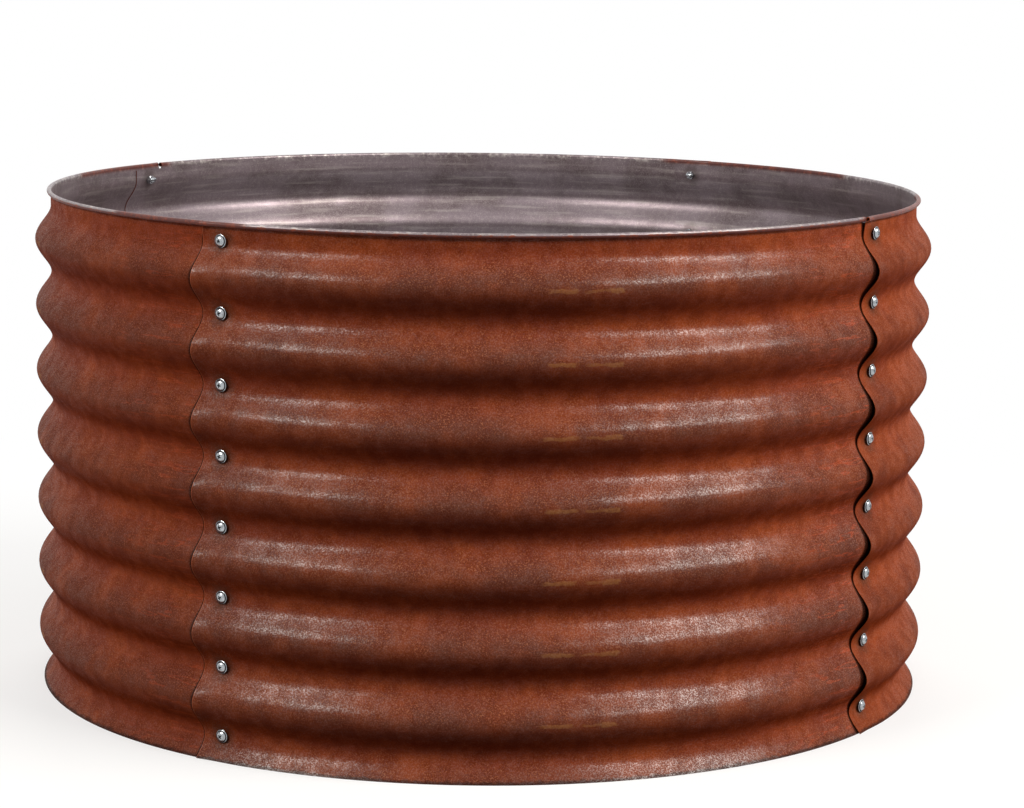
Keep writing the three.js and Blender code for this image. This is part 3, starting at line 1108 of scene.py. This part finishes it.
def inside_finish(name, colours, sheet, character):
    """Grey-mauve satin finish of a panel's inner face, which shows on top of the rolled edge."""
    material, tree, shader, place = new_material(name)
    flat_place, _, up = spot_on_sheet(tree)
    clouds = patches(tree, place, 70 * MM, 0.4)
    worn = patches(tree, place, 6 * MM, 0.3)
    grain = fine_grain(tree, place, 1.2 * MM)
    streaks, _ = group(tree, "Streaks", place=flat_place, length=100 * MM, width=6 * MM)
    stain, from_end = group(tree, "Screw stain", place=flat_place, reach=18 * MM)

    on_rim = up.ramp(sheet.height - 8 * MM, sheet.height - 3 * MM)
    round_rim = (up + (worn - 0.5) * MM).ramp(sheet.height + 3.2 * MM, sheet.height + 4.6 * MM)
    reach = character.brown_reach
    by_laps = from_end.ramp(reach, reach + 20 * MM, 1.0, 0.0) * on_rim
    is_brown = round_rim.most(by_laps)
    base = painted(
        tree,
        colours.inner,
        (clouds * 0.7, colours.inner_dark),
        (streaks * 0.25, colours.inner_worn),
        (worn * (on_rim * 0.6 + 0.1), colours.inner_worn),
        (grain.ramp(0.6, 1.0) * 0.25, colours.inner_worn),
        (stain * 0.5, colours.tarnish),
        (is_brown, mixed(tree, worn, colours.rust_deep, colours.rust)),
    )
    feed(tree, shader.inputs["Base Color"], base)
    feed(tree, shader.inputs["Roughness"], grain * 0.1 + clouds * 0.08 + round_rim * 0.2 + 0.3)
    feed(tree, shader.inputs["Metallic"], is_brown * -0.5 + 0.55)
    relief(tree, shader, grain, 0.06 * MM)
    return material


def zinc_finish(name, colours):
    """Bright zinc plate of the screws and nuts."""
    material, tree, shader, place = new_material(name)
    clouds = patches(tree, place, 3 * MM, 0.35)
    grain = fine_grain(tree, place, 0.3 * MM)
    grime = Number(tree, add(tree, "ShaderNodeAttribute", attribute_name=RECESS_SHADE).outputs["Fac"])
    base = mixed(tree, clouds * 0.6, colours.zinc, colours.zinc_dull)
    # painted shade in the cross recess and the groove round the dome
    base = mixed(tree, grime.ramp(0.1, 0.7), base, colours.grime)
    feed(tree, shader.inputs["Base Color"], base)
    feed(tree, shader.inputs["Roughness"], clouds * 0.12 + grain * 0.06 + grime * 0.3 + 0.14)
    shader.inputs["Metallic"].default_value = 1.0
    relief(tree, shader, grain, 0.01 * MM)
    return material


# ---------------------------------------------------------------- stage

WHITE = (1.0, 1.0, 1.0)
PALE_GREY = (0.9, 0.9, 0.9)
LAMP_COLOUR = (1.0, 0.96, 0.9)
FLOOR_SIDES = 64
LAMPS = {
    # name: (bearing from the camera's, elevation, distance, width, height, watts)
    "key_right": (60, 39, 6.0, 4.2, 1.0, 335),
    "key_left": (-52, 39, 6.0, 2.6, 1.0, 175),
    "top_soft": (0, 80, 5.0, 3.0, 3.0, 20),
    "side_right": (95, 5, 5.0, 2.6, 1.2, 65),
    "side_left": (-95, 5, 5.0, 2.6, 1.2, 50),
    "back_soft": (180, 43, 6.0, 3.0, 1.4, 120),
}


def seen_directly(tree):
    """1 for what the camera sees, also in glossy metal and through glass, and 0 for lighting."""
    path = add(tree, "ShaderNodeLightPath").outputs
    seen = Number(tree, path["Is Camera Ray"]) + Number(tree, path["Is Glossy Ray"])
    return (seen + Number(tree, path["Is Transmission Ray"])).least(1.0)


def blended(tree, factor, first, second):
    """The first shader with the second over it by a factor."""
    return made(tree, "ShaderNodeMixShader", {0: factor, 1: first, 2: second})


def floor_finish(stage):
    """White floor that keeps the bed's shadow and fades into the white background."""
    material, tree, shader, place = new_material("pale_floor")
    tree.nodes.remove(shader)
    distance = add(tree, "ShaderNodeVectorMath", {0: place}, operation="LENGTH")
    from_axis = Number(tree, distance.outputs["Value"])
    cloud = noise(tree, place, 3.0, 2.0) * 0.02
    lit = made(tree, "ShaderNodeBsdfDiffuse", {"Color": mixed(tree, cloud, WHITE, PALE_GREY)})
    white = made(tree, "ShaderNodeEmission", {"Color": WHITE, "Strength": 1.0})
    dim = made(tree, "ShaderNodeBsdfDiffuse", {"Color": (stage.floor_bounce,) * 3})
    faded = blended(tree, from_axis.ramp(0.5, 1.8, 0.6, 1.0), lit, white)
    seen = blended(tree, seen_directly(tree), dim, faded)
    feed(tree, tree.nodes["Material Output"].inputs["Surface"], seen)
    return material


def make_floor(stage):
    """A round floor, level with the ground that the bed stands on."""

    def build(mesh):
        mesh.faces.new(plain_ring(mesh, FLOOR_SIDES, stage.floor_radius, 0.0))

    data = finished_mesh("floor", build)
    data.materials.append(floor_finish(stage))
    floor = new_object("floor", data)


def make_world(stage):
    """White where it is seen, and dim light from all round on the bed."""
    world = bpy.data.worlds.new("studio")
    world.use_nodes = True
    tree = world.node_tree
    tree.nodes.clear()
    white = made(tree, "ShaderNodeBackground", {"Color": WHITE, "Strength": 1.0})
    ambient = made(tree, "ShaderNodeBackground", {"Color": WHITE, "Strength": stage.ambient})
    both = blended(tree, seen_directly(tree), ambient, white)
    add(tree, "ShaderNodeOutputWorld", {"Surface": both})
    bpy.context.scene.world = world


def bearing(degrees, elevation, distance):
    """A place at a bearing, against the clock from the front, and an elevation, about the bed."""
    angle = math.radians(degrees)
    rise = math.radians(elevation)
    level = distance * math.cos(rise)
    return Vector((level * math.sin(angle), -level * math.cos(angle), distance * math.sin(rise)))


def make_lamps(stage):
    """Soft lamps aimed at the middle of the bed. Only the key lamps glint on it."""
    for name, (turned, elevation, distance, width, height, watts) in LAMPS.items():
        light = bpy.data.lights.new(name, "AREA")
        light.shape = "RECTANGLE"
        light.size = width
        light.size_y = height
        light.energy = watts
        light.color = LAMP_COLOUR
        lamp = new_object(name, light)
        from_middle = bearing(math.degrees(stage.camera_bearing) + turned, elevation, distance)
        lamp.location = from_middle + Vector((0, 0, CAD_HIGH.z / 2))
        lamp.rotation_euler = from_middle.to_track_quat("Z", "Y").to_euler()
        lamp.visible_camera = False
        lamp.visible_glossy = name.startswith("key")


def make_camera(stage):
    """The camera at the photograph's place, aimed by its yaw, pitch and roll."""
    data = bpy.data.cameras.new("camera")
    data.lens = stage.camera_lens
    data.sensor_width = 36.0
    data.clip_end = 100.0
    camera = new_object("camera", data)
    camera.matrix_world = (
        Matrix.Rotation(stage.camera_bearing, 4, "Z")
        @ Matrix.Translation((0, -stage.camera_distance, stage.camera_height))
        @ Matrix.Rotation(-stage.camera_yaw, 4, "Z")
        @ Matrix.Rotation(math.pi / 2 - stage.camera_pitch, 4, "X")
        @ Matrix.Rotation(stage.camera_roll, 4, "Z")
    )
    bpy.context.scene.camera = camera


# ---------------------------------------------------------------- operators and sidebar


def shared_groups(sheet):
    """Makes the node groups that the finishes share, once."""
    if "Fine grain" not in bpy.data.node_groups:
        grain_group()
        patch_group()
        streak_group()
        stain_group(sheet)


class GARDENBED_OT_panels(bpy.types.Operator):
    """Builds the four corrugated panels"""

    bl_idname = "garden_bed.panels"
    bl_label = "Build Panels"

    def execute(self, context):
        sheet = context.scene.bed_sheet
        colours = context.scene.bed_finish
        shared_groups(sheet)
        finishes = {
            side: (
                outside_finish(f"rust_{side}", colours, sheet, CHARACTERS[side]),
                inside_finish(f"inner_face_{side}", colours, sheet, CHARACTERS[side]),
            )
            for side in PANELS
        }
        pattern = panel_mesh(sheet, *finishes[PANELS[0]])
        for i, side in enumerate(PANELS):
            mesh = pattern.copy()
            mesh.name = f"{side}_panel"
            mesh.transform(Matrix.Rotation(i * PANEL_ANGLE, 4, "Z"))
            own = dict(zip(finishes[PANELS[0]], finishes[side]))
            for slot, finish in enumerate(mesh.materials):
                mesh.materials[slot] = own.get(finish, finish)
            shade(mesh, sharp_degrees=40)
            place(f"{side}_panel", mesh, STEEL_SLOT, [f"panel_{side}"])
        return {"FINISHED"}


class GARDENBED_OT_screws(bpy.types.Operator):
    """Builds the screws and sets them in their holes"""

    bl_idname = "garden_bed.screws"
    bl_label = "Build Screws"

    def execute(self, context):
        sizes = context.scene.bed_fasteners
        shared_groups(context.scene.bed_sheet)
        finish = zinc_finish("zinc_screws", context.scene.bed_finish)
        mesh = fasteners("screws", screw_mesh(sizes), head_seats(sizes), finish, seed=3)
        shade(mesh, sharp_degrees=32)
        place("screws", mesh, ZINC_SLOT, screw_nodes())
        return {"FINISHED"}


class GARDENBED_OT_nuts(bpy.types.Operator):
    """Builds the nuts and sets them on their screws"""

    bl_idname = "garden_bed.nuts"
    bl_label = "Build Nuts"

    def execute(self, context):
        sizes = context.scene.bed_fasteners
        shared_groups(context.scene.bed_sheet)
        finish = zinc_finish("zinc_nuts", context.scene.bed_finish)
        mesh = fasteners("nuts", nut_mesh(sizes), nut_ends(), finish, seed=5)
        shade(mesh, sharp_degrees=25)
        place("nuts", mesh, ZINC_SLOT, nut_nodes())
        return {"FINISHED"}


class GARDENBED_OT_stage(bpy.types.Operator):
    """Builds the floor, background, lamps and camera"""

    bl_idname = "garden_bed.stage"
    bl_label = "Build Stage"

    def execute(self, context):
        stage = context.scene.bed_stage
        make_camera(stage)
        make_floor(stage)
        make_world(stage)
        make_lamps(stage)
        context.scene.view_settings.view_transform = "Standard"
        return {"FINISHED"}


class GARDENBED_PT_sidebar(bpy.types.Panel):
    """Lists the sizes, the colours and what can be built"""

    bl_idname = "GARDENBED_PT_sidebar"
    bl_label = "Garden Bed"
    bl_space_type = "VIEW_3D"
    bl_region_type = "UI"
    bl_category = "Garden Bed"

    def draw(self, context):
        for settings in SETTINGS:
            box = self.layout.box()
            box.label(text=title(settings))
            group_of_values = getattr(context.scene, settings)
            for name in group_of_values.__annotations__:
                box.prop(group_of_values, name)
        for operator in OPERATORS:
            self.layout.operator(operator.bl_idname)


SETTINGS = {
    "bed_sheet": BedSheet,
    "bed_fasteners": BedFasteners,
    "bed_finish": BedFinish,
    "bed_stage": BedStage,
}
OPERATORS = (GARDENBED_OT_stage, GARDENBED_OT_panels, GARDENBED_OT_screws, GARDENBED_OT_nuts)
CLASSES = (*SETTINGS.values(), *OPERATORS, GARDENBED_PT_sidebar)


def register():
    for cls in CLASSES:
        bpy.utils.register_class(cls)
    for name, cls in SETTINGS.items():
        setattr(bpy.types.Scene, name, PointerProperty(type=cls))


def unregister():
    for name in SETTINGS:
        delattr(bpy.types.Scene, name)
    for cls in reversed(CLASSES):
        bpy.utils.unregister_class(cls)


def main():
    register()
    bpy.ops.garden_bed.stage()
    bpy.ops.garden_bed.panels()
    bpy.ops.garden_bed.screws()
    bpy.ops.garden_bed.nuts()


if __name__ == "__main__":
    main()
